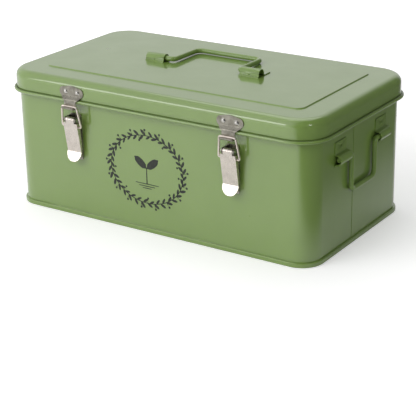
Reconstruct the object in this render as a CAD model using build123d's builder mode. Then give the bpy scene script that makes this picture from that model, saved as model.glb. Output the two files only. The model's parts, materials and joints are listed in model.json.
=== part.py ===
from build123d import *
import os
from math import asin, atan2, cos, degrees, hypot, sin

# Lidded steel box: a folded body with a seamed base, a slip-over hinged lid, two
# draw latches in front, a drop handle on each end and one lying on the lid.
# Origin: centre of the flat underside. X runs along the length, the front faces -Y, Z is up.
# "u" below is the distance outwards from the outer face of a body wall.

os.makedirs("parts", exist_ok=True)

# ---- driving dimensions, millimetres ----

# body and base
box_length = 330.0
box_depth = 178.0
corner_radius = 20.0
sheet = 0.8
rim_z = 124.0
hem_depth = 6.0
base_sheet = 0.8
seam_proud = 2.0
seam_height = 4.5
seam_round = 0.9
swage_inset = 14.0
swage_width = 6.0
swage_rise = 1.2
lap_seam_y = -11.0
lap_seam_width = 5.0
lap_seam_proud = 0.35
lap_seam_top_z = 110.5
rim_round_share = 0.8

# divider and its end channels
divider_sheet = 0.8
divider_bottom_z = 3.0
divider_top_z = 98.0
divider_hem_depth = 5.0
divider_hem_sheets = 3
channel_sheet = 0.8
channel_depth = 7.0
channel_top_z = 90.0
channel_clearance = 0.15

# lid
lid_gap = 3.7
lid_corner_radius = 28.0
lid_top_z = 136.0
lid_edge_round = 7.5
panel_inset = 27.5
panel_rise = 1.0
panel_corner_radius = 8.5
panel_slope_deg = 45.0
bead_radius = 1.6
bead_u = 5.6
bead_z = 116.4

# hinges
hinge_x = 90.0
hinge_width = 32.0
hinge_sheet = 0.9
hinge_u = 5.4
hinge_below_bead = 3.3
hinge_knuckle_radius = 2.5
hinge_knuckle_split = 8.0
hinge_side_clearance = 0.2
hinge_pin_radius = 1.2
hinge_pin_head_radius = 2.0
hinge_pin_head = 0.8
hinge_leaf_down = 15.0
hinge_leaf_flat = 9.0
hinge_rivet_x = 10.0
hinge_rivet_from_end = 5.0

# latches
latch_x = 87.2
latch_sheet = 0.9
keeper_end_x = 9.1
keeper_end_radius = 4.6
keeper_rivet_z = 124.8
keeper_rivet_spacing = 13.6
keeper_crown = 6.0
keeper_taper_drop = 8.2
keeper_neck_width = 13.4
hook_bottom_z = 110.0
hook_lip_z = 112.2
hook_mouth = 4.0
hook_bend_radius = 0.95
neck_clearance = 0.25
latch_pivot_u = 8.0
latch_pivot_z = 99.0
latch_pin_radius = 1.25
latch_pin_head_radius = 1.9
latch_pin_head = 0.6
lever_sheet = 1.0
lever_width = 16.0
lever_knuckle_radius = 2.4
lever_knuckle_width = 9.6
lever_shoulder_drop = 3.0
lever_flange_depth = 4.6
lever_crease_u = 4.6
lever_crease_z = 67.0
lever_lip_u = 8.2
lever_lip_z = 57.5
lever_tongue_radius = 8.25
lever_bend_radius = 2.0
lever_flange_rise = 2.0
lever_flange_low_depth = 1.5
loop_pivot_u = 6.9
loop_pivot_z = 92.1
loop_wire_radius = 1.0
loop_top_half = 8.5
loop_foot_half = 11.0
loop_bend_radius = 1.6
loop_seat_clearance = 0.15
latch_base_bottom_z = 58.0
latch_base_top_z = 103.0
latch_base_corner = 1.5
ear_x = 5.4
ear_sheet = 1.0
ear_radius = 2.6
latch_rivet_low_z = 70.0
latch_rivet_high_z = 87.0

# drop handles and their saddle brackets
rod_radius = 2.4
rod_end_round = 0.5
rod_pivot_u = 3.4
saddle_sheet = 0.9
saddle_inner_half = 4.0
saddle_inner_height = 6.4
saddle_width = 20.5
saddle_tab = 15.9
saddle_toe = 6.1
saddle_foot_round = 1.6
saddle_foot_share = 0.9
saddle_dimple_at = 11.0
saddle_dimple_radius = 1.7
saddle_dimple_floor = 0.6
saddle_dimple_depth = 0.45
rod_inset = 2.0
rod_elbow_radius = 4.0
end_handle_z = 89.5
end_saddle_y = 38.5
end_leg_y = 22.4
end_leg_length = 35.0
end_bar_corner = 6.0
lid_handle_y = 1.5
lid_saddle_x = 53.4
lid_saddle_shift = -2.8
lid_rod_end_x = 54.0
lid_leg_x = 36.5
lid_leg_length = 41.5
lid_bar_corner = 7.0
lid_bar_u = 2.9

# rivets
rivet_shank_radius = 1.3
rivet_head_radius = 2.5
rivet_head_height = 1.1
rivet_tail_radius = 2.1
rivet_tail = 0.5

# fits
pin_clearance = 0.05
cut_margin = 4.0

# ---- sizes worked out from them ----

wall_x = box_length / 2
wall_y = box_depth / 2
skirt_u = lid_gap + sheet
lid_length = box_length + 2 * skirt_u
lid_depth = box_depth + 2 * skirt_u
panel_top_z = lid_top_z + panel_rise
rim_thickness = 2 * sheet
clear_of_bead_u = bead_u + bead_radius + neck_clearance
inner_wall_x = wall_x - sheet
hinge_z = bead_z - bead_radius - hinge_below_bead - hinge_knuckle_radius
leaf_over_bead_u = clear_of_bead_u + hinge_sheet / 2
leaf_skirt_u = skirt_u + hinge_sheet / 2
leaf_bend_z = bead_z + bead_radius + neck_clearance
hinge_top_z = leaf_bend_z + leaf_over_bead_u - leaf_skirt_u + hinge_leaf_flat
sides = (("left", -1), ("right", 1))


def save(piece, label):
    """Name a finished piece and write it to its own file."""
    piece.part.label = label
    export_step(piece.part, f"parts/{label}.step")


def front_section(x):
    """Upright plane across the front wall: local x is u, local y is the height."""
    return Plane(origin=(x, -wall_y, 0), x_dir=(0, -1, 0), z_dir=(-1, 0, 0))


def back_section(x):
    """Upright plane across the back wall: local x is u, local y is the height."""
    return Plane(origin=(x, wall_y, 0), x_dir=(0, 1, 0), z_dir=(1, 0, 0))


def front_seat(x, z, u):
    """Plane on the front at u: local x is X, local y the height, local z outwards."""
    return Plane(origin=(x, -wall_y - u, z), x_dir=(1, 0, 0), z_dir=(0, -1, 0))


def back_seat(x, z, u):
    """Plane on the back at u: local x is -X, local y the height, local z outwards."""
    return Plane(origin=(x, wall_y + u, z), x_dir=(-1, 0, 0), z_dir=(0, 1, 0))


def make_rivet(grip):
    """Domed rivet: head on local z = 0, shank through the grip, flat tail behind it."""
    dome_radius = (rivet_head_radius**2 + rivet_head_height**2) / (2 * rivet_head_height)
    half_angle = asin(rivet_head_radius / dome_radius) / 2
    dome_drop = dome_radius * (1 - cos(half_angle))
    with BuildPart() as rivet:
        with BuildSketch(Plane.XZ):
            with BuildLine():
                Polyline(
                    (0, rivet_head_height),
                    (0, -grip - rivet_tail),
                    (rivet_tail_radius, -grip - rivet_tail),
                    (rivet_tail_radius, -grip),
                    (rivet_shank_radius, -grip),
                    (rivet_shank_radius, 0),
                    (rivet_head_radius, 0),
                )
                ThreePointArc(
                    (rivet_head_radius, 0),
                    (dome_radius * sin(half_angle), rivet_head_height - dome_drop),
                    (0, rivet_head_height),
                )
            make_face()
        revolve(axis=Axis.Z)
    return rivet.part


# ---- rivet seats, shared by the holes and the rivets ----

latch_rivet_seats = [
    front_seat(sign * latch_x, z, latch_sheet)
    for _, sign in sides
    for z in (latch_rivet_low_z, latch_rivet_high_z)
]
keeper_rivet_seats = [
    front_seat(sign * latch_x + side * keeper_rivet_spacing / 2, keeper_rivet_z, skirt_u + latch_sheet)
    for _, sign in sides
    for side in (-1, 1)
]
hinge_low_rivet_z = hinge_z - hinge_leaf_down + hinge_rivet_from_end
hinge_high_rivet_z = hinge_top_z - hinge_leaf_flat / 2
hinge_box_rivet_seats = [
    back_seat(sign * hinge_x + side * hinge_rivet_x, hinge_low_rivet_z, hinge_sheet)
    for _, sign in sides
    for side in (-1, 1)
]
hinge_lid_rivet_seats = [
    back_seat(sign * hinge_x + side * hinge_rivet_x, hinge_high_rivet_z, skirt_u + hinge_sheet)
    for _, sign in sides
    for side in (-1, 1)
]
hole_reach = 2 * (latch_sheet + sheet + cut_margin)

# ---- body ----

with BuildPart() as body_shell:
    with BuildSketch(Plane.XY.offset(base_sheet)):
        RectangleRounded(box_length, box_depth, corner_radius)
        RectangleRounded(
            box_length - 2 * sheet, box_depth - 2 * sheet, corner_radius - sheet, mode=Mode.SUBTRACT
        )
    extrude(amount=rim_z - base_sheet)
    # the rim is folded in and down, so it is two sheets thick
    with BuildSketch(Plane.XY.offset(rim_z - hem_depth)):
        RectangleRounded(box_length, box_depth, corner_radius)
        RectangleRounded(
            box_length - 2 * rim_thickness,
            box_depth - 2 * rim_thickness,
            corner_radius - rim_thickness,
            mode=Mode.SUBTRACT,
        )
    extrude(amount=hem_depth)
    rim_edges = body_shell.faces().sort_by(Axis.Z)[-1].edges()
    fillet(rim_edges, rim_round_share * sheet)
    # lapped joint of the wrapped wall, on the right end
    with BuildSketch(Plane.XY.offset(base_sheet)):
        with Locations((wall_x, lap_seam_y)):
            Rectangle(2 * lap_seam_proud, lap_seam_width)
    extrude(amount=lap_seam_top_z - base_sheet)
    with Locations(*latch_rivet_seats, *hinge_box_rivet_seats):
        Cylinder(rivet_shank_radius, hole_reach, mode=Mode.SUBTRACT)
save(body_shell, "body_shell")

with BuildPart() as base_pan:
    with BuildSketch():
        RectangleRounded(
            box_length + 2 * seam_proud, box_depth + 2 * seam_proud, corner_radius + seam_proud
        )
    extrude(amount=seam_height)
    seam_edges = base_pan.edges().group_by(Axis.Z)[0] + base_pan.edges().group_by(Axis.Z)[-1]
    fillet(seam_edges, seam_round)
    with BuildSketch(Plane.XY.offset(base_sheet)):
        RectangleRounded(box_length, box_depth, corner_radius)
        with Locations((wall_x, lap_seam_y)):
            Rectangle(2 * lap_seam_proud, lap_seam_width)
    extrude(amount=seam_height, mode=Mode.SUBTRACT)
    # stiffening swage pressed up round the panel
    with BuildSketch(Plane.XY.offset(base_sheet)):
        RectangleRounded(box_length - 2 * swage_inset, box_depth - 2 * swage_inset, corner_radius)
        RectangleRounded(
            box_length - 2 * (swage_inset + swage_width),
            box_depth - 2 * (swage_inset + swage_width),
            corner_radius - swage_width,
            mode=Mode.SUBTRACT,
        )
    extrude(amount=swage_rise)
    with BuildSketch():
        RectangleRounded(
            box_length - 2 * (swage_inset + base_sheet),
            box_depth - 2 * (swage_inset + base_sheet),
            corner_radius - base_sheet,
        )
        RectangleRounded(
            box_length - 2 * (swage_inset + swage_width - base_sheet),
            box_depth - 2 * (swage_inset + swage_width - base_sheet),
            corner_radius - swage_width + base_sheet,
            mode=Mode.SUBTRACT,
        )
    extrude(amount=swage_rise, mode=Mode.SUBTRACT)
save(base_pan, "base_pan")

# ---- divider between the two rows, slid into a channel on each end wall ----

channel_slot = divider_sheet + 2 * channel_clearance
divider_length = 2 * (inner_wall_x - channel_sheet - channel_clearance)

with BuildPart() as centre_divider:
    with BuildSketch(Plane.YZ):
        with BuildLine():
            Polyline(
                (-divider_sheet / 2, divider_bottom_z),
                (divider_sheet / 2, divider_bottom_z),
                (divider_sheet / 2, divider_top_z),
                (-divider_sheet / 2, divider_top_z),
                close=True,
            )
        make_face()
    extrude(amount=divider_length / 2, both=True)
    with BuildSketch(Plane.YZ) as hem:
        with Locations((0, divider_top_z - divider_hem_depth / 2)):
            Rectangle(divider_hem_sheets * divider_sheet, divider_hem_depth)
        fillet(hem.vertices(), divider_sheet)
    extrude(amount=divider_length / 2 - channel_depth - channel_clearance, both=True)
save(centre_divider, "centre_divider")

for side_name, side_sign in sides:
    with BuildPart() as divider_channel:
        with BuildSketch(Plane.XY.offset(divider_bottom_z)):
            with Locations((side_sign * (inner_wall_x - channel_depth / 2), 0)):
                Rectangle(channel_depth, channel_slot + 2 * channel_sheet)
            slot_centre = side_sign * (inner_wall_x - channel_sheet - channel_depth / 2)
            with Locations((slot_centre, 0)):
                Rectangle(channel_depth, channel_slot, mode=Mode.SUBTRACT)
        extrude(amount=channel_top_z - divider_bottom_z)
    save(divider_channel, f"divider_channel_{side_name}")

# ---- lid ----

with BuildPart() as lid_shell:
    with BuildSketch(Plane.XY.offset(bead_z)):
        RectangleRounded(lid_length, lid_depth, lid_corner_radius)
    extrude(amount=lid_top_z - bead_z)
    fillet(lid_shell.edges().group_by(Axis.Z)[-1], lid_edge_round)
    with BuildSketch(Plane.XY.offset(lid_top_z)):
        RectangleRounded(
            lid_length - 2 * panel_inset, lid_depth - 2 * panel_inset, panel_corner_radius
        )
    extrude(amount=panel_rise, taper=panel_slope_deg)
    offset(amount=-sheet, openings=lid_shell.faces().sort_by(Axis.Z)[0])
    # rolled bead along the foot of the skirt
    with BuildLine(Plane.XY.offset(bead_z)) as bead_route:
        bead_x = wall_x + bead_u
        bead_y = wall_y + bead_u
        bead_corner = lid_corner_radius + bead_u - skirt_u
        Line((-bead_x + bead_corner, -bead_y), (bead_x - bead_corner, -bead_y))
        JernArc((bead_x - bead_corner, -bead_y), (1, 0), bead_corner, 90)
        Line((bead_x, -bead_y + bead_corner), (bead_x, bead_y - bead_corner))
        JernArc((bead_x, bead_y - bead_corner), (0, 1), bead_corner, 90)
        Line((bead_x - bead_corner, bead_y), (-bead_x + bead_corner, bead_y))
        JernArc((-bead_x + bead_corner, bead_y), (-1, 0), bead_corner, 90)
        Line((-bead_x, bead_y - bead_corner), (-bead_x, -bead_y + bead_corner))
        JernArc((-bead_x, -bead_y + bead_corner), (0, -1), bead_corner, 90)
    with BuildSketch(Plane(origin=bead_route.line @ 0, z_dir=bead_route.line % 0)):
        Circle(bead_radius)
    sweep()
    with Locations(*keeper_rivet_seats, *hinge_lid_rivet_seats):
        Cylinder(rivet_shank_radius, hole_reach, mode=Mode.SUBTRACT)
save(lid_shell, "lid_shell")

# ---- hinges at the back ----

strap_low_z = hinge_z - hinge_knuckle_radius
hinge_bottom_z = hinge_z - hinge_leaf_down
hinge_notch_z = strap_low_z - 2 * hinge_side_clearance
leaf_shoulder_z = hinge_z + hinge_knuckle_radius + 2 * hinge_side_clearance
outer_knuckle = hinge_width / 2 - hinge_knuckle_split

for side_name, side_sign in sides:
    centre_x = side_sign * hinge_x
    with BuildPart() as hinge_box_leaf:
        with BuildSketch(back_section(centre_x)):
            # plate on the wall, turned out at its top to carry the knuckles
            with Locations((hinge_sheet / 2, (hinge_bottom_z + strap_low_z + hinge_sheet) / 2)):
                Rectangle(hinge_sheet, strap_low_z + hinge_sheet - hinge_bottom_z)
            with Locations((hinge_u / 2, strap_low_z + hinge_sheet / 2)):
                Rectangle(hinge_u, hinge_sheet)
            with Locations((hinge_u, hinge_z)):
                Circle(hinge_knuckle_radius)
        extrude(amount=hinge_width / 2, both=True)
        # room for the lid leaf's middle knuckle
        with BuildSketch(back_section(centre_x)):
            with Locations((hinge_u / 2, (hinge_notch_z + hinge_top_z) / 2)):
                Rectangle(
                    hinge_u + 2 * (hinge_knuckle_radius + cut_margin), hinge_top_z - hinge_notch_z
                )
        extrude(
            amount=hinge_knuckle_split + hinge_side_clearance / 2, both=True, mode=Mode.SUBTRACT
        )
        with BuildSketch(back_section(centre_x)):
            with Locations((hinge_u, hinge_z)):
                Circle(hinge_pin_radius)
        extrude(amount=hinge_width / 2, both=True, mode=Mode.SUBTRACT)
        with Locations(*hinge_box_rivet_seats):
            Cylinder(rivet_shank_radius, hole_reach, mode=Mode.SUBTRACT)
    save(hinge_box_leaf, f"hinge_box_leaf_{side_name}")

    with BuildPart() as hinge_lid_leaf:
        with BuildSketch(back_section(centre_x)):
            with BuildLine():
                FilletPolyline(
                    (leaf_over_bead_u, hinge_z),
                    (leaf_over_bead_u, leaf_bend_z),
                    (leaf_skirt_u, leaf_bend_z + leaf_over_bead_u - leaf_skirt_u),
                    (leaf_skirt_u, hinge_top_z),
                    radius=hinge_sheet,
                )
            trace(line_width=hinge_sheet)
        extrude(amount=hinge_width / 2, both=True)
        for knuckle_side in (-1, 1):
            with BuildSketch(Plane.XY.offset(hinge_z - hinge_knuckle_radius)):
                with Locations(
                    (
                        centre_x + knuckle_side * (hinge_knuckle_split + outer_knuckle / 2),
                        wall_y + leaf_over_bead_u,
                    )
                ):
                    Rectangle(outer_knuckle + hinge_side_clearance, hinge_sheet + cut_margin)
            extrude(amount=leaf_shoulder_z - hinge_z + hinge_knuckle_radius, mode=Mode.SUBTRACT)
        with BuildSketch(back_section(centre_x)):
            with Locations((hinge_u, hinge_z)):
                Circle(hinge_knuckle_radius)
        extrude(amount=hinge_knuckle_split - hinge_side_clearance / 2, both=True)
        with BuildSketch(back_section(centre_x)):
            with Locations((hinge_u, hinge_z)):
                Circle(hinge_pin_radius + pin_clearance)
        extrude(amount=hinge_width / 2, both=True, mode=Mode.SUBTRACT)
        with Locations(*hinge_lid_rivet_seats):
            Cylinder(rivet_shank_radius, hole_reach, mode=Mode.SUBTRACT)
    save(hinge_lid_leaf, f"hinge_lid_leaf_{side_name}")

    with BuildPart() as hinge_pin:
        with BuildSketch(back_section(centre_x)):
            with Locations((hinge_u, hinge_z)):
                Circle(hinge_pin_radius)
        extrude(amount=hinge_width / 2 + hinge_pin_head, both=True)
        for head_side in (-1, 1):
            with BuildSketch(back_section(centre_x + head_side * hinge_width / 2)):
                with Locations((hinge_u, hinge_z)):
                    Circle(hinge_pin_head_radius)
            extrude(amount=head_side * hinge_pin_head)
    save(hinge_pin, f"hinge_pin_{side_name}")

box_rivet = make_rivet(hinge_sheet + sheet)
with BuildPart() as hinge_box_rivets:
    with Locations(*hinge_box_rivet_seats):
        add(box_rivet)
save(hinge_box_rivets, "hinge_box_rivets")

lid_rivet = make_rivet(hinge_sheet + sheet)
with BuildPart() as hinge_lid_rivets:
    with Locations(*hinge_lid_rivet_seats):
        add(lid_rivet)
save(hinge_lid_rivets, "hinge_lid_rivets")

# ---- latches on the front ----

neck_u = clear_of_bead_u + latch_sheet / 2
neck_bend_z = bead_z + bead_radius
keeper_u = skirt_u + latch_sheet / 2
hook_trough_z = hook_bottom_z + latch_sheet / 2
hook_lip_u = neck_u + latch_sheet + hook_mouth
loop_bar_u = neck_u + latch_sheet / 2 + loop_wire_radius + loop_seat_clearance
loop_bar_z = hook_bottom_z + latch_sheet + loop_wire_radius + loop_seat_clearance
loop_length = hypot(loop_bar_u - loop_pivot_u, loop_bar_z - loop_pivot_z)
lever_top_u = latch_pivot_u + lever_knuckle_radius - lever_sheet / 2
lever_shoulder_z = latch_pivot_z - lever_shoulder_drop
flange_low_z = lever_crease_z + lever_flange_rise
flange_low_u = lever_crease_u - lever_flange_low_depth
latch_base_width = 2 * (ear_x + ear_sheet)

for side_name, side_sign in sides:
    centre_x = side_sign * latch_x

    with BuildPart() as keeper:
        # one strip, bent over the bead and hooked, seen from the side
        with BuildSketch(front_section(centre_x)):
            with BuildLine():
                FilletPolyline(
                    (keeper_u, keeper_rivet_z + keeper_crown + cut_margin),
                    (keeper_u, neck_bend_z + neck_u - keeper_u),
                    (neck_u, neck_bend_z),
                    (neck_u, hook_trough_z),
                    (hook_lip_u, hook_trough_z),
                    (hook_lip_u, hook_lip_z),
                    radius=hook_bend_radius,
                )
            trace(line_width=latch_sheet)
        extrude(amount=keeper_end_x + keeper_end_radius, both=True)
        # its outline seen from the front
        with BuildSketch(front_seat(centre_x, keeper_rivet_z, skirt_u)):
            with Locations((-keeper_end_x, 0), (keeper_end_x, 0)):
                Circle(keeper_end_radius)
            Ellipse(keeper_end_x, keeper_crown)
            with Locations((0, -keeper_taper_drop + latch_sheet / 2)):
                Rectangle(keeper_neck_width, latch_sheet)
            make_hull()
            with Locations((0, -keeper_taper_drop)):
                Rectangle(
                    keeper_neck_width,
                    keeper_rivet_z - keeper_taper_drop - hook_bottom_z + cut_margin,
                    align=(Align.CENTER, Align.MAX),
                )
        extrude(amount=hook_lip_u - skirt_u + cut_margin, mode=Mode.INTERSECT)
        with Locations(*keeper_rivet_seats):
            Cylinder(rivet_shank_radius, hole_reach, mode=Mode.SUBTRACT)
    save(keeper, f"keeper_{side_name}")

    with BuildPart() as latch_base:
        with BuildSketch(front_seat(centre_x, 0, 0)):
            with Locations((0, (latch_base_bottom_z + latch_base_top_z) / 2)):
                RectangleRounded(
                    latch_base_width, latch_base_top_z - latch_base_bottom_z, latch_base_corner
                )
        extrude(amount=latch_sheet)
        for ear_side in (-1, 1):
            with BuildSketch(front_section(centre_x + ear_side * (ear_x + ear_sheet / 2))):
                with Locations((latch_pivot_u, latch_pivot_z)):
                    Circle(ear_radius)
                with Locations((latch_sheet / 2, latch_base_top_z - ear_radius - latch_base_corner)):
                    Rectangle(latch_sheet / 2, 2 * ear_radius)
                make_hull()
            extrude(amount=ear_sheet / 2, both=True)
        with BuildSketch(front_section(centre_x)):
            with Locations((latch_pivot_u, latch_pivot_z)):
                Circle(latch_pin_radius)
        extrude(amount=lever_width / 2, both=True, mode=Mode.SUBTRACT)
        with Locations(*latch_rivet_seats):
            Cylinder(rivet_shank_radius, hole_reach, mode=Mode.SUBTRACT)
    save(latch_base, f"latch_base_{side_name}")

    with BuildPart() as latch_pin:
        with BuildSketch(front_section(centre_x)):
            with Locations((latch_pivot_u, latch_pivot_z)):
                Circle(latch_pin_radius)
        extrude(amount=ear_x + ear_sheet + latch_pin_head, both=True)
        for head_side in (-1, 1):
            with BuildSketch(front_section(centre_x + head_side * (ear_x + ear_sheet))):
                with Locations((latch_pivot_u, latch_pivot_z)):
                    Circle(latch_pin_head_radius)
            extrude(amount=-head_side * latch_pin_head)
    save(latch_pin, f"latch_pin_{side_name}")

    with BuildPart() as latch_lever:
        with BuildSketch(front_section(centre_x)):
            with BuildLine():
                FilletPolyline(
                    (lever_top_u, latch_pivot_z),
                    (lever_crease_u, lever_crease_z),
                    (lever_lip_u, lever_lip_z),
                    radius=lever_bend_radius,
                )
            trace(line_width=lever_sheet)
        extrude(amount=lever_tongue_radius, both=True)
        # side flanges that carry the wire loop
        for flange_side in (-1, 1):
            flange_x = centre_x + flange_side * (lever_width - lever_sheet) / 2
            with BuildSketch(front_section(flange_x)):
                with BuildLine():
                    Polyline(
                        (lever_top_u, lever_shoulder_z),
                        (lever_top_u - lever_flange_depth, lever_shoulder_z),
                        (flange_low_u, flange_low_z),
                        (lever_crease_u, flange_low_z),
                        close=True,
                    )
                make_face()
            extrude(amount=lever_sheet / 2, both=True)
        # outline seen from the front: straight sides and a half-round tongue
        with BuildSketch(front_seat(centre_x, 0, 0)):
            with Locations((0, (lever_shoulder_z + lever_lip_z + lever_tongue_radius) / 2)):
                Rectangle(lever_width, lever_shoulder_z - lever_lip_z - lever_tongue_radius)
            with Locations((0, lever_lip_z + lever_tongue_radius)):
                Circle(lever_tongue_radius)
            with Locations((0, latch_pivot_z)):
                Rectangle(lever_knuckle_width, 2 * lever_shoulder_drop)
        extrude(amount=lever_top_u + cut_margin, mode=Mode.INTERSECT)
        with BuildSketch(front_section(centre_x)):
            with Locations((latch_pivot_u, latch_pivot_z)):
                Circle(lever_knuckle_radius)
        extrude(amount=lever_knuckle_width / 2, both=True)
        with BuildSketch(front_section(centre_x)):
            with Locations((latch_pivot_u, latch_pivot_z)):
                Circle(latch_pin_radius + pin_clearance)
            with Locations((loop_pivot_u, loop_pivot_z)):
                Circle(loop_wire_radius + pin_clearance)
        extrude(amount=lever_width, both=True, mode=Mode.SUBTRACT)
    save(latch_lever, f"latch_lever_{side_name}")

    with BuildPart() as latch_loop:
        loop_up = (0, loop_pivot_u - loop_bar_u, loop_bar_z - loop_pivot_z)
        loop_plane = Plane(
            origin=(centre_x, -wall_y - loop_pivot_u, loop_pivot_z),
            x_dir=(1, 0, 0),
            z_dir=Vector(1, 0, 0).cross(Vector(*loop_up)),
        )
        loop_end = lever_width / 2 - lever_sheet
        with BuildLine(loop_plane) as loop_route:
            FilletPolyline(
                (-loop_end, 0),
                (-loop_foot_half, 0),
                (-loop_top_half, loop_length),
                (loop_top_half, loop_length),
                (loop_foot_half, 0),
                (loop_end, 0),
                radius=loop_bend_radius,
            )
        with BuildSketch(Plane(origin=loop_route.line @ 0, z_dir=loop_route.line % 0)):
            Circle(loop_wire_radius)
        sweep()
    save(latch_loop, f"latch_loop_{side_name}")

keeper_rivet = make_rivet(latch_sheet + sheet)
with BuildPart() as keeper_rivets:
    with Locations(*keeper_rivet_seats):
        add(keeper_rivet)
save(keeper_rivets, "keeper_rivets")

latch_rivet = make_rivet(latch_sheet + sheet)
with BuildPart() as latch_base_rivets:
    with Locations(*latch_rivet_seats):
        add(latch_rivet)
save(latch_base_rivets, "latch_base_rivets")

# ---- drop handles ----


def make_saddle(section):
    """Saddle bracket on a section plane: local x is outwards, local y towards the long tab."""
    crown_u = saddle_inner_height - saddle_inner_half
    outer_half = saddle_inner_half + saddle_sheet
    with BuildPart() as saddle:
        with BuildSketch(section) as outline:
            with Locations((saddle_sheet / 2, (saddle_tab - saddle_toe) / 2)):
                Rectangle(saddle_sheet, saddle_tab + saddle_toe)
            with Locations((crown_u / 2, 0)):
                Rectangle(crown_u, 2 * outer_half)
            with Locations((crown_u, 0)):
                Circle(outer_half)
            feet = [
                corner
                for corner in outline.vertices()
                if abs(corner.X - saddle_sheet) < pin_clearance
                and abs(abs(corner.Y) - outer_half) < pin_clearance
            ]
            fillet(feet, min(saddle_foot_round, saddle_foot_share * (saddle_toe - outer_half)))
            with Locations((crown_u / 2, 0)):
                Rectangle(crown_u, 2 * saddle_inner_half, mode=Mode.SUBTRACT)
            with Locations((crown_u, 0)):
                Circle(saddle_inner_half, mode=Mode.SUBTRACT)
            with Locations((-outer_half, 0)):
                Rectangle(2 * outer_half, 2 * saddle_tab, mode=Mode.SUBTRACT)
        extrude(amount=saddle_width / 2, both=True)
        # weld dimple in the tab
        dimple = Plane(
            origin=section.from_local_coords((saddle_sheet, saddle_dimple_at, 0)),
            z_dir=section.x_dir,
        )
        with Locations(dimple):
            Cone(
                saddle_dimple_floor,
                saddle_dimple_radius,
                saddle_dimple_depth,
                align=(Align.CENTER, Align.CENTER, Align.MAX),
                mode=Mode.SUBTRACT,
            )
    return saddle


def make_bail(plane, leg_half, leg_length, end_half, bar_corner):
    """Bent rod: local x runs along the pivot line, local y towards the grip."""
    with BuildPart() as bail:
        with BuildLine(plane) as route:
            FilletPolyline(
                (-end_half, 0),
                (-leg_half, 0),
                (-leg_half, leg_length),
                (leg_half, leg_length),
                (leg_half, 0),
                (end_half, 0),
                radius=(rod_elbow_radius, bar_corner, bar_corner, rod_elbow_radius),
            )
        with BuildSketch(Plane(origin=route.line @ 0, z_dir=route.line % 0)):
            Circle(rod_radius)
        sweep()
        rod_ends = bail.faces().filter_by(GeomType.PLANE).edges()
        chamfer(rod_ends, rod_end_round)
    return bail


for side_name, side_sign in sides:
    for row_name, row_sign in (("front", -1), ("back", 1)):
        end_section = Plane(
            origin=(side_sign * wall_x, row_sign * end_saddle_y, end_handle_z),
            x_dir=(side_sign, 0, 0),
            z_dir=(0, -side_sign, 0),
        )
        end_saddle = make_saddle(end_section)
        save(end_saddle, f"{side_name}_saddle_{row_name}")

    end_bail_plane = Plane(
        origin=(side_sign * (wall_x + rod_pivot_u), 0, end_handle_z),
        x_dir=(0, 1, 0),
        z_dir=(-1, 0, 0),
    )
    end_bail = make_bail(
        end_bail_plane,
        end_leg_y,
        end_leg_length,
        end_saddle_y + saddle_width / 2 - rod_inset,
        end_bar_corner,
    )
    save(end_bail, f"{side_name}_bail")

for side_name, side_sign in sides:
    lid_section = Plane(
        origin=(side_sign * lid_saddle_x + lid_saddle_shift, lid_handle_y, panel_top_z),
        x_dir=(0, 0, 1),
        z_dir=(-1, 0, 0),
    )
    lid_saddle = make_saddle(lid_section)
    save(lid_saddle, f"lid_saddle_{side_name}")

lid_bail_dip = atan2(rod_pivot_u - lid_bar_u, lid_leg_length)
lid_bail_plane = Plane(
    origin=(0, lid_handle_y, panel_top_z + rod_pivot_u),
    x_dir=(1, 0, 0),
    z_dir=(0, sin(lid_bail_dip), cos(lid_bail_dip)),
)
lid_bail = make_bail(
    lid_bail_plane,
    lid_leg_x,
    lid_leg_length,
    lid_rod_end_x,
    lid_bar_corner,
)
save(lid_bail, "lid_bail")

# ---- what the joints turn on, for whoever assembles the pieces ----

print("lid hinge axis   y, z:", wall_y + hinge_u, hinge_z)
print("lever pivot      y, z:", -wall_y - latch_pivot_u, latch_pivot_z)
print("loop pivot       y, z:", -wall_y - loop_pivot_u, loop_pivot_z)
print("loop bar         y, z:", -wall_y - loop_bar_u, loop_bar_z, "length", round(loop_length, 3))
print("end handle axis  x, z:", wall_x + rod_pivot_u, end_handle_z)
print("lid handle axis  y, z:", lid_handle_y, panel_top_z + rod_pivot_u)
print("lid handle dips by", round(degrees(lid_bail_dip), 3), "degrees")
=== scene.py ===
import json
import math
import random

import bmesh
import bpy
from mathutils import Matrix, Vector


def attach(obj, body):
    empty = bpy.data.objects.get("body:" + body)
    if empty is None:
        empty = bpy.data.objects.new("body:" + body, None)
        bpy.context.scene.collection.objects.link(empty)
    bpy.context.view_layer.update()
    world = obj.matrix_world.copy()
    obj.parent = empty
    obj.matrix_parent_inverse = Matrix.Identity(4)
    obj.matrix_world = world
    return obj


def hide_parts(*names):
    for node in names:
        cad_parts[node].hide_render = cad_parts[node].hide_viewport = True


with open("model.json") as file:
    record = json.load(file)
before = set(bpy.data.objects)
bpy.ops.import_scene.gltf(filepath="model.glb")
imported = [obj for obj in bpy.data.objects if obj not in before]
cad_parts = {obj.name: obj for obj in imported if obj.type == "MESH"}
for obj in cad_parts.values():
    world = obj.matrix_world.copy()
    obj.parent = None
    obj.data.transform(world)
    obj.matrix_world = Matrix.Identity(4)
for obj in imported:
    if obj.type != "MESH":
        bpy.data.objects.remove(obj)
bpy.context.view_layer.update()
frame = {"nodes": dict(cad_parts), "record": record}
nodes = frame["nodes"]
mm = 0.001


def colour(red, green, blue):
    # screen values from 0 to 255, as a colour picker gives them, to the linear values of a socket
    linear = []
    for level in (red, green, blue):
        share = level / 255
        linear.append(share / 12.92 if share <= 0.04045 else ((share + 0.055) / 1.055) ** 2.4)
    return (*linear, 1.0)


# Shader nodes: small helpers

mixFirst, mixSecond = 2, 3  # sockets of a Mix node that mixes values
mixFirstColour, mixSecondColour, mixedColour = 6, 7, 2  # and of one that mixes colours
plainWhite = (1, 1, 1, 1)


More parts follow.
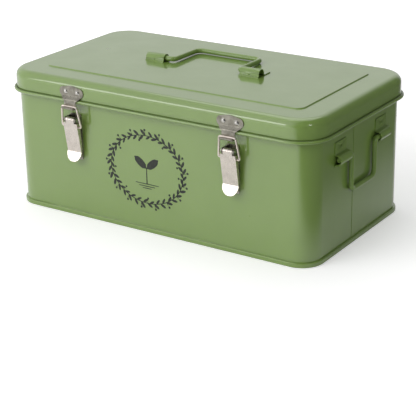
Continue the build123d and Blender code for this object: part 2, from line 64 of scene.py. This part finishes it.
def fillSocket(tree, socket, value):
    # a link from another node's socket, or else a plain value
    if isinstance(value, bpy.types.NodeSocket):
        tree.links.new(value, socket)
    else:
        socket.default_value = value


def addRange(tree, value, given, made=(0.0, 1.0), interpolation="LINEAR"):
    node = tree.nodes.new("ShaderNodeMapRange")
    node.interpolation_type = interpolation
    for label, level in zip(("From Min", "From Max", "To Min", "To Max"), (*given, *made)):
        node.inputs[label].default_value = level
    tree.links.new(value, node.inputs["Value"])
    return node.outputs["Result"]


def addMath(tree, operation, *values):
    node = tree.nodes.new("ShaderNodeMath")
    node.operation = operation
    for socket, value in zip(node.inputs, values):
        fillSocket(tree, socket, value)
    return node.outputs[0]


def addColourMix(tree, share, first, second, blend="MIX"):
    mix = tree.nodes.new("ShaderNodeMix")
    mix.data_type = "RGBA"
    mix.blend_type = blend
    fillSocket(tree, mix.inputs[0], share)
    fillSocket(tree, mix.inputs[mixFirstColour], first)
    fillSocket(tree, mix.inputs[mixSecondColour], second)
    return mix.outputs[mixedColour]


def addPlace(tree):
    return tree.nodes.new("ShaderNodeTexCoord").outputs["Object"]


def addSplit(tree, vector):
    split = tree.nodes.new("ShaderNodeSeparateXYZ")
    tree.links.new(vector, split.inputs[0])
    return split.outputs


def addNoise(tree, vector, scale, detail, roughness=0.5):
    noise = tree.nodes.new("ShaderNodeTexNoise")
    noise.inputs["Scale"].default_value = scale
    noise.inputs["Detail"].default_value = detail
    noise.inputs["Roughness"].default_value = roughness
    tree.links.new(vector, noise.inputs["Vector"])
    return noise.outputs["Fac"]


def addBump(tree, height, strength, distance):
    bump = tree.nodes.new("ShaderNodeBump")
    bump.inputs["Distance"].default_value = distance
    fillSocket(tree, bump.inputs["Strength"], strength)
    tree.links.new(height, bump.inputs["Height"])
    return bump


def newMaterial(name):
    material = bpy.data.materials.new(name)
    material.use_nodes = True
    return material, material.node_tree, material.node_tree.nodes["Principled BSDF"]


# Camera

cameraSettings = {
    "azimuth": 33.74,  # degrees round from the front towards the right end
    "elevation": 21.79,
    "roll": -1.07,
    "distance": 1.31413,
    "targetHeight": -0.00527,
    "lens": 115.5,
    "filmWidth": 36,
}


def placeCamera():
    settings = cameraSettings
    azimuth = math.radians(settings["azimuth"])
    elevation = math.radians(settings["elevation"])
    outward = Vector((
        math.sin(azimuth) * math.cos(elevation),
        -math.cos(azimuth) * math.cos(elevation),
        math.sin(elevation),
    ))
    target = Vector((0, 0, settings["targetHeight"]))
    data = bpy.data.cameras.new("photoCamera")
    data.lens = settings["lens"]
    data.sensor_width = settings["filmWidth"]
    camera = bpy.data.objects.new("photoCamera", data)
    bpy.context.scene.collection.objects.link(camera)
    right = Vector((math.cos(azimuth), math.sin(azimuth), 0))
    level = Matrix((right, outward.cross(right), outward)).transposed()
    turned = level @ Matrix.Rotation(math.radians(settings["roll"]), 3, "Z")
    camera.matrix_world = Matrix.Translation(target + outward * settings["distance"]) @ turned.to_4x4()
    bpy.context.scene.camera = camera


placeCamera()
print("camera placed")

# Floor, world and lamps

floorSettings = {
    "size": 6.0,
    "white": 0.93,
    "roughness": 0.9,
    "specular": 0.1,
    "lift": 0.34,  # added to what the camera sees, so that the paper is white round the shadow
    "farLift": 1.2,  # further out the paper fades into the white behind it
    "farRange": (0.45, 1.3),
    "darkRange": (0.15, 0.28),  # to the right of this, reflections show the paper as in a dim room
    "darkLevel": 0.1,
}
skySettings = {
    # bright on the left and dim on the right, as a room with windows on one side
    "turn": (-0.25, 0.3),
    "lit": (0.6, 0.34),
    "mirrored": (0.68, 0.08),
    "seen": (1.0, 1.0),  # plain white behind the box
}
lampTarget = Vector((0, 0, 0.07))
lampSettings = (
    # name, place, width, height, watts
    ("keyPanel", (-0.75, -1.6, 1.35), 2.2, 2.2, 14.5),
    ("keyStrip", (-0.75, -1.6, 1.35), 1.6, 0.4, 11),
    ("lowPanel", (-0.9, -1.6, 0.52), 0.8, 0.5, 3),
    ("rightLamp", (1.7, -0.9, 1.0), 0.3, 0.3, 1.5),
    ("topPanel", (-0.3, 0.6, 1.9), 1.6, 1.6, 6),
)


def makeFloor():
    settings = floorSettings
    bpy.ops.object.select_all(action="DESELECT")
    bpy.ops.mesh.primitive_plane_add(size=settings["size"], location=(0, 0, 0))
    floor = bpy.context.object
    floor.name = "studioFloor"
    material, tree, shader = newMaterial("studioPaper")
    path = tree.nodes.new("ShaderNodeLightPath").outputs
    place = addPlace(tree)
    across = addSplit(tree, place)["X"]
    dim = addRange(tree, across, settings["darkRange"], (1.0, settings["darkLevel"]), "SMOOTHSTEP")
    level = tree.nodes.new("ShaderNodeMix")
    level.inputs[mixFirst].default_value = 1.0
    tree.links.new(path["Is Glossy Ray"], level.inputs[0])
    tree.links.new(dim, level.inputs[mixSecond])
    white = (settings["white"],) * 3 + (1,)
    paper = addColourMix(tree, 1.0, white, level.outputs[0], "MULTIPLY")
    reach = tree.nodes.new("ShaderNodeVectorMath")
    reach.operation = "LENGTH"
    tree.links.new(place, reach.inputs[0])
    lifts = (settings["lift"], settings["farLift"])
    fade = addRange(tree, reach.outputs["Value"], settings["farRange"], lifts)
    glow = addMath(tree, "MULTIPLY", path["Is Camera Ray"], fade)
    tree.links.new(glow, shader.inputs["Emission Strength"])
    tree.links.new(paper, shader.inputs["Base Color"])
    shader.inputs["Emission Color"].default_value = plainWhite
    shader.inputs["Roughness"].default_value = settings["roughness"]
    shader.inputs["Specular IOR Level"].default_value = settings["specular"]
    floor.data.materials.append(material)


def makeSky():
    settings = skySettings
    world = bpy.data.worlds.new("studioSky")
    bpy.context.scene.world = world
    world.use_nodes = True
    tree = world.node_tree
    tree.nodes.clear()
    across = addSplit(tree, tree.nodes.new("ShaderNodeTexCoord").outputs["Generated"])["X"]

    def addBackground(use):
        node = tree.nodes.new("ShaderNodeBackground")
        node.inputs["Color"].default_value = plainWhite
        strength = addRange(tree, across, settings["turn"], settings[use], "SMOOTHSTEP")
        tree.links.new(strength, node.inputs["Strength"])
        return node.outputs[0]

    def addChoice(share, first, second):
        mix = tree.nodes.new("ShaderNodeMixShader")
        for socket, source in zip(mix.inputs, (share, first, second)):
            tree.links.new(source, socket)
        return mix.outputs[0]

    path = tree.nodes.new("ShaderNodeLightPath").outputs
    direct = addMath(tree, "MAXIMUM", path["Is Camera Ray"], path["Is Transmission Ray"])
    indirect = addChoice(path["Is Glossy Ray"], addBackground("lit"), addBackground("mirrored"))
    output = tree.nodes.new("ShaderNodeOutputWorld")
    tree.links.new(addChoice(direct, indirect, addBackground("seen")), output.inputs["Surface"])


def makeLamps():
    for name, place, width, height, watts in lampSettings:
        data = bpy.data.lights.new(name, "AREA")
        data.shape = "RECTANGLE"
        data.size = width
        data.size_y = height
        data.energy = watts
        lamp = bpy.data.objects.new(name, data)
        bpy.context.scene.collection.objects.link(lamp)
        aim = lampTarget - Vector(place)
        lamp.rotation_euler = aim.to_track_quat("-Z", "Y").to_euler()
        lamp.location = place
        lamp.visible_glossy = name != "keyPanel"  # the paint mirrors the smaller lamps alone


makeFloor()
makeSky()
makeLamps()
bpy.context.scene.view_settings.view_transform = "Standard"
print("studio set up")

# Shared effects, as node groups

waveSettings = {
    # noise scale and detail, and the strength and distance with which it bends the surface
    "peel": (420.0, 1.0, 0.05, 0.0002),
    "sheet": (14.0, 1.0, 0.05, 0.004),
    "cloud": (30.0, 3.0),
}
grainSettings = {
    "stretch": (1.0, 1.0, 0.05),
    "lines": (2600.0, 2.0),
    "lineDepth": 0.0001,
    "marks": (160.0, 4.0, 0.6),  # with the roughness of the noise as well
}


def newGroup(name, inputs, outputs):
    group = bpy.data.node_groups.new(name, "ShaderNodeTree")
    for label, value in inputs:
        socket = group.interface.new_socket(label, in_out="INPUT", socket_type="NodeSocketFloat")
        socket.default_value = value
    for label, kind in outputs:
        group.interface.new_socket(label, in_out="OUTPUT", socket_type=kind)
    return group, group.nodes.new("NodeGroupInput").outputs, group.nodes.new("NodeGroupOutput").inputs


def makeSheetWaves():
    # orange peel of sprayed paint over the slow waves of thin sheet steel
    group, given, made = newGroup(
        "sheetWaves",
        (("Peel", 1.0), ("Sheet", 1.0)),
        (("Normal", "NodeSocketVector"), ("Cloud", "NodeSocketFloat")),
    )
    place = addPlace(group)
    bumps = []
    for label in ("Peel", "Sheet"):
        scale, detail, strength, distance = waveSettings[label.lower()]
        noise = addNoise(group, place, scale, detail)
        bumps.append(addBump(group, noise, addMath(group, "MULTIPLY", given[label], strength), distance))
    peel, sheet = bumps
    group.links.new(peel.outputs["Normal"], sheet.inputs["Normal"])
    group.links.new(sheet.outputs["Normal"], made["Normal"])
    group.links.new(addNoise(group, place, *waveSettings["cloud"]), made["Cloud"])
    return group


def makeMetalGrain():
    # fine drawn lines along one axis, and soft handling marks
    group, given, made = newGroup(
        "metalGrain",
        (("Depth", 0.1),),
        (("Normal", "NodeSocketVector"), ("Lines", "NodeSocketFloat"), ("Marks", "NodeSocketFloat")),
    )
    place = addPlace(group)
    stretch = group.nodes.new("ShaderNodeMapping")
    stretch.inputs["Scale"].default_value = grainSettings["stretch"]
    group.links.new(place, stretch.inputs["Vector"])
    lines = addNoise(group, stretch.outputs["Vector"], *grainSettings["lines"])
    bump = addBump(group, lines, given["Depth"], grainSettings["lineDepth"])
    group.links.new(bump.outputs["Normal"], made["Normal"])
    group.links.new(lines, made["Lines"])
    group.links.new(addNoise(group, place, *grainSettings["marks"]), made["Marks"])
    return group


sheetWaves = makeSheetWaves()
metalGrain = makeMetalGrain()

# Finishes

enamelSettings = {
    "paint": colour(119, 147, 69),
    "thinPaint": colour(114, 142, 65),
    "cloudRange": (0.15, 0.85),
    "roughness": (0.26, 0.36),
    "coatRoughness": 0.035,
    "creaseShadeTone": colour(30, 42, 20),  # painted shade that darkens the fold above the lid's bead
    "creaseHeights": (117.5, 118.8),
    "creaseDepth": 0.45,
    "creaseCore": 0.5,
    "creaseCoat": 0.15,
}
enamelKinds = {
    # name: share of the sheet's slow waves, refraction of the clear top, whether shade is painted in its
    # fold
    "wallEnamel": (1.0, 1.9, False),
    "lidEnamel": (1.0, 1.85, True),
    "rimEnamel": (0.0, 1.7, False),
    "rodEnamel": (0.0, 1.5, False),
}
markRange, lineRange = (0.35, 0.7), (0.3, 0.7)
inkSettings = {
    "ink": colour(24, 28, 22),
    "thinInk": colour(46, 54, 38),
    "grain": (900.0, 3.0),
    "grainRange": (0.4, 0.75),
    "roughness": 0.35,
    "coat": 0.2,
    "coatRoughness": 0.08,
}
nickelSettings = {
    # name: base tone, worn tone, lowest and highest roughness, grain depth
    "satinNickel": (colour(236, 226, 218), colour(220, 211, 202), 0.2, 0.34, 0.12),
    "greyNickel": (colour(172, 168, 156), colour(132, 128, 118), 0.24, 0.4, 0.14),
    "paleWire": (colour(250, 238, 230), colour(232, 220, 210), 0.34, 0.48, 0.1),
    "polishedRivet": (colour(222, 220, 214), colour(188, 184, 178), 0.1, 0.2, 0.03),
    "drawnWire": (colour(196, 194, 188), colour(140, 138, 132), 0.18, 0.3, 0.1),
    "zincSteel": (colour(186, 188, 188), colour(140, 144, 146), 0.28, 0.46, 0.12),
}


def addGroup(tree, group, **values):
    node = tree.nodes.new("ShaderNodeGroup")
    node.node_tree = group
    for label, value in values.items():
        node.inputs[label].default_value = value
    return node.outputs


def addCrease(tree):
    # how much painted shade lies in the fold here, by height alone
    settings = enamelSettings
    low, high = settings["creaseHeights"]
    half = (high - low) / 2 * mm
    height = addSplit(tree, addPlace(tree))["Z"]
    away = addMath(tree, "ABSOLUTE", addMath(tree, "SUBTRACT", height, (low + high) / 2 * mm))
    return addRange(tree, away, (half * settings["creaseCore"], half), (settings["creaseDepth"], 0.0))


def makeEnamel(name):
    sheetWave, coatIor, shadeInFold = enamelKinds[name]
    material, tree, shader = newMaterial(name)
    settings = enamelSettings
    waves = addGroup(tree, sheetWaves, Peel=1.0, Sheet=sheetWave)
    cloud = addRange(tree, waves["Cloud"], settings["cloudRange"])
    paint = addColourMix(tree, cloud, settings["paint"], settings["thinPaint"])
    shader.inputs["Coat Weight"].default_value = 1.0
    # painted shade in the fold above the bead: darker paint and a thinner clear top, by height
    if shadeInFold:
        foldShade = addCrease(tree)
        paint = addColourMix(tree, foldShade, paint, settings["creaseShadeTone"])
        coat = addRange(tree, foldShade, (0.0, settings["creaseDepth"]), (1.0, settings["creaseCoat"]))
        tree.links.new(coat, shader.inputs["Coat Weight"])
    tree.links.new(paint, shader.inputs["Base Color"])
    rough = addRange(tree, waves["Cloud"], settings["cloudRange"], settings["roughness"])
    tree.links.new(rough, shader.inputs["Roughness"])
    tree.links.new(waves["Normal"], shader.inputs["Normal"])
    shader.inputs["Coat Roughness"].default_value = settings["coatRoughness"]
    shader.inputs["Coat IOR"].default_value = coatIor
    return material


def makeMetal(name):
    tone, worn, smoothest, roughest, depth = nickelSettings[name]
    material, tree, shader = newMaterial(name)
    grain = addGroup(tree, metalGrain, Depth=depth)
    marks = addRange(tree, grain["Marks"], markRange)
    rough = addRange(tree, grain["Lines"], lineRange, (smoothest, roughest))
    tree.links.new(addColourMix(tree, marks, tone, worn), shader.inputs["Base Color"])
    tree.links.new(rough, shader.inputs["Roughness"])
    tree.links.new(grain["Normal"], shader.inputs["Normal"])
    shader.inputs["Metallic"].default_value = 1.0
    return material


def makeInk():
    settings = inkSettings
    material, tree, shader = newMaterial("printInk")
    thin = addRange(tree, addNoise(tree, addPlace(tree), *settings["grain"]), settings["grainRange"])
    tone = addColourMix(tree, thin, settings["ink"], settings["thinInk"])
    tree.links.new(tone, shader.inputs["Base Color"])
    shader.inputs["Roughness"].default_value = settings["roughness"]
    shader.inputs["Coat Weight"].default_value = settings["coat"]
    shader.inputs["Coat Roughness"].default_value = settings["coatRoughness"]
    return material


enamels = {name: makeEnamel(name) for name in enamelKinds}
metals = {name: makeMetal(name) for name in nickelSettings}
ink = makeInk()


def finishOf(node, slot):
    if slot == "green_enamel":
        if "bail" in node or "saddle" in node:
            return enamels["rodEnamel"]
        return enamels[{"lid_shell": "lidEnamel", "base_pan": "rimEnamel"}.get(node, "wallEnamel")]
    if slot == "steel_rivet":
        return metals["polishedRivet"]
    if slot == "steel_pin":
        return metals["drawnWire"]
    if "loop" in node:
        return metals["paleWire"]
    if slot == "plated_hinge_steel":
        return metals["zincSteel"]
    return metals["greyNickel"] if "keeper" in node or "base" in node else metals["satinNickel"]


for part in frame["record"]["subparts"]:
    node = nodes[part["node"]]
    node.data.materials.clear()
    node.data.materials.append(finishOf(part["node"], part["material_slot"]))
print("finishes given")

# Modelling by hand: small helpers round Blender's own tools


def alone(piece):
    bpy.ops.object.select_all(action="DESELECT")
    piece.select_set(True)
    bpy.context.view_layer.objects.active = piece


def startPiece(name, add, turn=(0, 0, 0), **size):
    # a primitive, turned, with its place and turn put into its mesh
    bpy.ops.object.select_all(action="DESELECT")
    add(location=(0, 0, 0), rotation=turn, **size)
    piece = bpy.context.object
    piece.name = name
    piece.data.name = name
    bpy.ops.object.transform_apply(location=True, rotation=True, scale=True)
    return piece


def pick(piece, kind, test):
    # edit mode: selects the vertices, edges or faces whose middle passes the test
    bpy.ops.mesh.select_mode(type={"verts": "VERT", "edges": "EDGE", "faces": "FACE"}[kind])
    bpy.ops.mesh.select_all(action="DESELECT")
    mesh = bmesh.from_edit_mesh(piece.data)
    for part in getattr(mesh, kind):
        corners = [part] if kind == "verts" else part.verts
        middle = sum((corner.co for corner in corners), Vector()) / len(corners)
        if test(middle / mm):
            part.select_set(True)
    mesh.select_flush_mode()
    bmesh.update_edit_mesh(piece.data)


def copyPiece(source, place, turn=0.0, size=1.0):
    # its own mesh, turned about the line of sight from the front and put at x, z
    twin = source.copy()
    twin.data = source.data.copy()
    x, z = place
    move = Matrix.Translation((x * mm, 0, z * mm)) @ Matrix.Rotation(-turn, 4, "Y") @ Matrix.Scale(size, 4)
    twin.data.transform(move)
    bpy.context.scene.collection.objects.link(twin)
    return twin


def joinPieces(name, pieces):
    bpy.ops.object.select_all(action="DESELECT")
    for piece in pieces:
        piece.select_set(True)
    bpy.context.view_layer.objects.active = pieces[0]
    bpy.ops.object.join()
    pieces[0].name = name
    pieces[0].data.name = name
    return pieces[0]


def finishWith(piece, kind, **values):
    alone(piece)
    modifier = piece.modifiers.new(kind.title(), kind)
    for label, value in values.items():
        setattr(modifier, label, value)
    bpy.ops.object.modifier_apply(modifier=modifier.name)


# Printed ring on the front wall: a stem with plain leaves and berries, and a seedling inside it

printSettings = {
    # mm and degrees; turns are measured from the stem
    "centre": (-7.5, 61.5),
    "halfWidth": 40.5,
    "halfHeight": 33.0,
    "wall": -89.0,
    "thickness": 0.12,  # half of it stands in the wall
    "stemWidth": 0.8,
    "stemCorners": 96,
    "steps": 34,
    "leaf": (7.4, 2.7),
    "leafLean": 38,
    "leanChange": 7,
    "leafSizes": (0.85, 1.05),
    "innerStart": 0.06,  # how far round the ring the inner leaf stands from the outer one
    "innerSize": 0.9,
    "berryRadius": 1.15,
    "berryCorners": 14,
    "stalk": (5.4, 0.45),
    "berries": ((2, 0, -80, 1.0), (4, 1, 84, 0.9)),  # one in so many steps, which of them, turn, size
    "shoot": (16.0, 1.3),
    "shootFoot": -14,
    "largeLeaf": (17.0, 7.4),
    "largeLeafWays": (38, 142),
    "largeLeafRise": 1,
    "soilWidth": 0.9,
    "soilLines": ((-14.0, 13.0), (-16.2, 9.0), (-18.2, 5.0)),
}
leafSettings = {
    # places as shares of the leaf's length, and how much of its width is left there
    "corners": 18,
    "tipFrom": 0.9,
    "tipWidth": 0.55,
    "pointFrom": 0.995,
    "pointPull": 0.14,
    "rootTo": 0.12,
    "rootWidth": 0.5,
}
strokeTaper = 0.7
facingFront = (math.radians(90), 0, 0)
printSeed = 11


def makeLeaf(name, length, width):
    settings = leafSettings
    leaf = startPiece(
        name, bpy.ops.mesh.primitive_circle_add, facingFront,
        vertices=settings["corners"], radius=mm, fill_type="NGON",
    )
    bpy.ops.object.mode_set(mode="EDIT")
    bpy.ops.mesh.select_all(action="SELECT")
    bpy.ops.transform.resize(value=(length / 2, 1, width / 2))
    bpy.ops.transform.translate(value=(length / 2 * mm, 0, 0))
    pick(leaf, "verts", lambda at: at.x > length * settings["tipFrom"])
    bpy.ops.transform.resize(value=(1, 1, settings["tipWidth"]), center_override=(length * mm, 0, 0))
    pick(leaf, "verts", lambda at: at.x > length * settings["pointFrom"])
    bpy.ops.transform.translate(value=(length * settings["pointPull"] * mm, 0, 0))
    pick(leaf, "verts", lambda at: at.x < length * settings["rootTo"])
    bpy.ops.transform.resize(value=(1, 1, settings["rootWidth"]), center_override=(0, 0, 0))
    bpy.ops.object.mode_set(mode="OBJECT")
    return leaf


def makeBar(name, length, width):
    # a thin tapered stroke from its own origin along x
    bar = startPiece(name, bpy.ops.mesh.primitive_plane_add, facingFront, size=mm)
    bpy.ops.object.mode_set(mode="EDIT")
    bpy.ops.mesh.select_all(action="SELECT")
    bpy.ops.transform.resize(value=(length, 1, width))
    bpy.ops.transform.translate(value=(length / 2 * mm, 0, 0))
    pick(bar, "verts", lambda at: at.x > length / 2)
    bpy.ops.transform.resize(value=(1, 1, strokeTaper), center_override=(length * mm, 0, 0))
    bpy.ops.object.mode_set(mode="OBJECT")
    return bar


def makeStemRing(width, halfWidth, halfHeight):
    ring = startPiece(
        "stemRing", bpy.ops.mesh.primitive_circle_add, facingFront,
        vertices=printSettings["stemCorners"], radius=mm,
    )
    outerWidth, outerHeight = halfWidth + width / 2, halfHeight + width / 2
    innerWidth, innerHeight = halfWidth - width / 2, halfHeight - width / 2
    bpy.ops.object.mode_set(mode="EDIT")
    bpy.ops.mesh.select_all(action="SELECT")
    bpy.ops.transform.resize(value=(outerWidth, 1, outerHeight))
    bpy.ops.mesh.extrude_region_move()
    bpy.ops.transform.resize(
        value=(innerWidth / outerWidth, 1, innerHeight / outerHeight), center_override=(0, 0, 0)
    )
    bpy.ops.object.mode_set(mode="OBJECT")
    return ring


def makePrint():
    settings = printSettings
    centreX, centreZ = settings["centre"]
    halfWidth, halfHeight = settings["halfWidth"], settings["halfHeight"]
    stalkLength = settings["stalk"][0]
    leanChange = settings["leanChange"]
    chance = random.Random(printSeed)
    leaf = makeLeaf("printLeaf", *settings["leaf"])
    largeLeaf = makeLeaf("printLargeLeaf", *settings["largeLeaf"])
    berry = startPiece(
        "printBerry", bpy.ops.mesh.primitive_circle_add, facingFront,
        vertices=settings["berryCorners"], radius=settings["berryRadius"] * mm, fill_type="NGON",
    )
    stalk = makeBar("printStalk", *settings["stalk"])
    shoot = makeBar("printShoot", *settings["shoot"])
    soilLine = makeBar("printSoil", 1.0, settings["soilWidth"])
    stemRing = makeStemRing(settings["stemWidth"], halfWidth, halfHeight)
    pieces = [copyPiece(stemRing, settings["centre"])]

    def onRing(turn):
        return centreX + halfWidth * math.cos(turn), centreZ + halfHeight * math.sin(turn)

    def addBerry(root, way, size):
        pieces.append(copyPiece(stalk, root, way, size))
        reach = stalkLength * size
        tip = (root[0] + reach * math.cos(way), root[1] + reach * math.sin(way))
        pieces.append(copyPiece(berry, tip, 0.0, size))

    for step in range(settings["steps"]):
        turn = 2 * math.pi * (step + 0.5) / settings["steps"]
        along = math.atan2(halfHeight * math.cos(turn), -halfWidth * math.sin(turn))
        lean = math.radians(settings["leafLean"] + chance.uniform(-leanChange, leanChange))
        size = chance.uniform(*settings["leafSizes"])
        pieces.append(copyPiece(leaf, onRing(turn), along - lean, size))
        innerRoot = onRing(turn + settings["innerStart"])
        pieces.append(copyPiece(leaf, innerRoot, along + lean, size * settings["innerSize"]))
        for every, which, berryTurn, berrySize in settings["berries"]:
            if step % every == which:
                addBerry(onRing(turn), along + math.radians(berryTurn), berrySize)
    pieces.append(copyPiece(shoot, (centreX, centreZ + settings["shootFoot"]), math.radians(90)))
    for way in settings["largeLeafWays"]:
        root = (centreX, centreZ + settings["largeLeafRise"])
        pieces.append(copyPiece(largeLeaf, root, math.radians(way)))
    for low, reach in settings["soilLines"]:
        for way in (0.0, math.pi):
            line = copyPiece(soilLine, (0, 0))
            line.data.transform(Matrix.Diagonal((reach, 1, 1, 1)))
            pieces.append(copyPiece(line, (centreX, centreZ + low), way))
            bpy.data.objects.remove(line)
    for pattern in (leaf, largeLeaf, berry, stalk, shoot, soilLine, stemRing):
        bpy.data.objects.remove(pattern)
    piece = joinPieces("frontPrint", pieces)
    piece.data.transform(Matrix.Translation((0, settings["wall"] * mm, 0)))
    finishWith(piece, "SOLIDIFY", thickness=settings["thickness"] * mm, offset=0.0)
    piece.data.materials.append(ink)
    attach(piece, "box")


makePrint()
print("print made")

# Saddle brackets of the drop handles: bent from strip, with a weld pit in the tab and in the toe

saddleSettings = {
    # mm and degrees
    "sheet": 0.9,
    "innerHalf": 4.0,
    "innerHeight": 6.4,
    "width": 20.5,
    "tab": 15.9,
    "toe": 6.1,
    "footRound": 1.08,
    "pitAt": 11.0,
    "pitRadius": 1.25,
    "pitFloor": 0.25,
    "pitCut": 2.0,  # height of the round cutter
    "pitCorners": 20,
    "toePitRadius": 0.75,
    "toePitCorners": (16, 10),
    "edgeRound": 0.22,
    "edgeSteps": 2,
    "roundFrom": 50,
    "smoothTo": 35,
    "arcSteps": 14,
    "footSteps": 4,
}
saddlePlaces = (
    # node, body, place of its foot, way out
    ("lid_saddle_left", "lid", (-56.2, 1.5, 137.0), "up"),
    ("lid_saddle_right", "lid", (50.6, 1.5, 137.0), "up"),
    ("left_saddle_front", "box", (-165.0, -38.5, 89.5), "left"),
    ("left_saddle_back", "box", (-165.0, 38.5, 89.5), "left"),
    ("right_saddle_front", "box", (165.0, -38.5, 89.5), "right"),
    ("right_saddle_back", "box", (165.0, 38.5, 89.5), "right"),
)
slack = 0.01  # mm, to tell one edge from the next


def arcPoints(centre, radius, start, end, steps):
    for step in range(1, steps + 1):
        angle = math.radians(start + (end - start) * step / steps)
        yield centre[0] + radius * math.cos(angle), centre[1] + radius * math.sin(angle)


def cutWith(piece, cutter):
    finishWith(piece, "BOOLEAN", object=cutter, operation="DIFFERENCE", solver="EXACT")
    bpy.data.objects.remove(cutter)


def makeSaddle():
    settings = saddleSettings
    sheet, half, foot = settings["sheet"], settings["innerHalf"] + settings["sheet"], settings["footRound"]
    crown = settings["innerHeight"] - settings["innerHalf"]
    # the outer face of the strip as seen from its side, from the toe over the arch to the tab
    path = [(-settings["toe"], sheet), (-half - foot, sheet)]
    path += arcPoints((-half - foot, sheet + foot), foot, -90, 0, settings["footSteps"])
    path.append((-half, crown))
    path += arcPoints((0, crown), half, 180, 0, settings["arcSteps"])
    path.append((half, sheet + foot))
    path += arcPoints((half + foot, sheet + foot), foot, 180, 270, settings["footSteps"])
    path.append((settings["tab"], sheet))
    start, middle = path[0][0], (path[0][0] + path[1][0]) / 2
    saddle = startPiece("saddlePattern", bpy.ops.mesh.primitive_plane_add, size=mm)
    bpy.ops.object.mode_set(mode="EDIT")
    bpy.ops.mesh.select_all(action="SELECT")
    bpy.ops.transform.resize(value=(settings["width"], path[1][0] - start, 1))
    bpy.ops.transform.translate(value=(0, middle * mm, sheet * mm))
    pick(saddle, "edges", lambda at: at.y > middle + slack)
    for before, after in zip(path[1:], path[2:]):
        step = (0, (after[0] - before[0]) * mm, (after[1] - before[1]) * mm)
        bpy.ops.mesh.extrude_edges_move(TRANSFORM_OT_translate={"value": step})
    bpy.ops.mesh.select_all(action="SELECT")
    bpy.ops.mesh.normals_make_consistent(inside=False)
    bpy.ops.object.mode_set(mode="OBJECT")
    if saddle.data.polygons[0].normal.z < 0:
        saddle.data.flip_normals()
    finishWith(saddle, "SOLIDIFY", thickness=sheet * mm, offset=-1.0)
    pit = startPiece(
        "pitCutter", bpy.ops.mesh.primitive_cylinder_add,
        vertices=settings["pitCorners"], radius=settings["pitRadius"] * mm, depth=settings["pitCut"] * mm,
    )
    pitMiddle = settings["pitFloor"] + settings["pitCut"] / 2
    pit.data.transform(Matrix.Translation((0, settings["pitAt"] * mm, pitMiddle * mm)))
    cutWith(saddle, pit)
    segments, rings = settings["toePitCorners"]
    toePit = startPiece(
        "toeCutter", bpy.ops.mesh.primitive_uv_sphere_add,
        segments=segments, ring_count=rings, radius=settings["toePitRadius"] * mm,
    )
    toePit.data.transform(Matrix.Translation((0, -half * mm, (sheet + foot) * mm)))
    cutWith(saddle, toePit)
    finishWith(
        saddle, "BEVEL", width=settings["edgeRound"] * mm, segments=settings["edgeSteps"],
        limit_method="ANGLE", angle_limit=math.radians(settings["roundFrom"]), harden_normals=False,
    )
    alone(saddle)
    bpy.ops.object.shade_smooth_by_angle(angle=math.radians(settings["smoothTo"]))
    return saddle


def makeSaddles():
    pattern = makeSaddle()
    ways = {
        "up": Matrix.Identity(4),
        "left": Matrix(((0, 0, -1, 0), (-1, 0, 0, 0), (0, 1, 0, 0), (0, 0, 0, 1))),
        "right": Matrix(((0, 0, 1, 0), (1, 0, 0, 0), (0, 1, 0, 0), (0, 0, 0, 1))),
    }
    for node, body, place, way in saddlePlaces:
        piece = pattern.copy()
        piece.data = pattern.data.copy()
        first, *rest = node.split("_")
        piece.name = first + "".join(word.title() for word in rest)
        piece.data.transform(Matrix.Translation(Vector(place) * mm) @ ways[way])
        bpy.context.scene.collection.objects.link(piece)
        piece.data.materials.append(enamels["rodEnamel"])
        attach(piece, body)
        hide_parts(node)
    bpy.data.objects.remove(pattern)


makeSaddles()
print("saddles made")
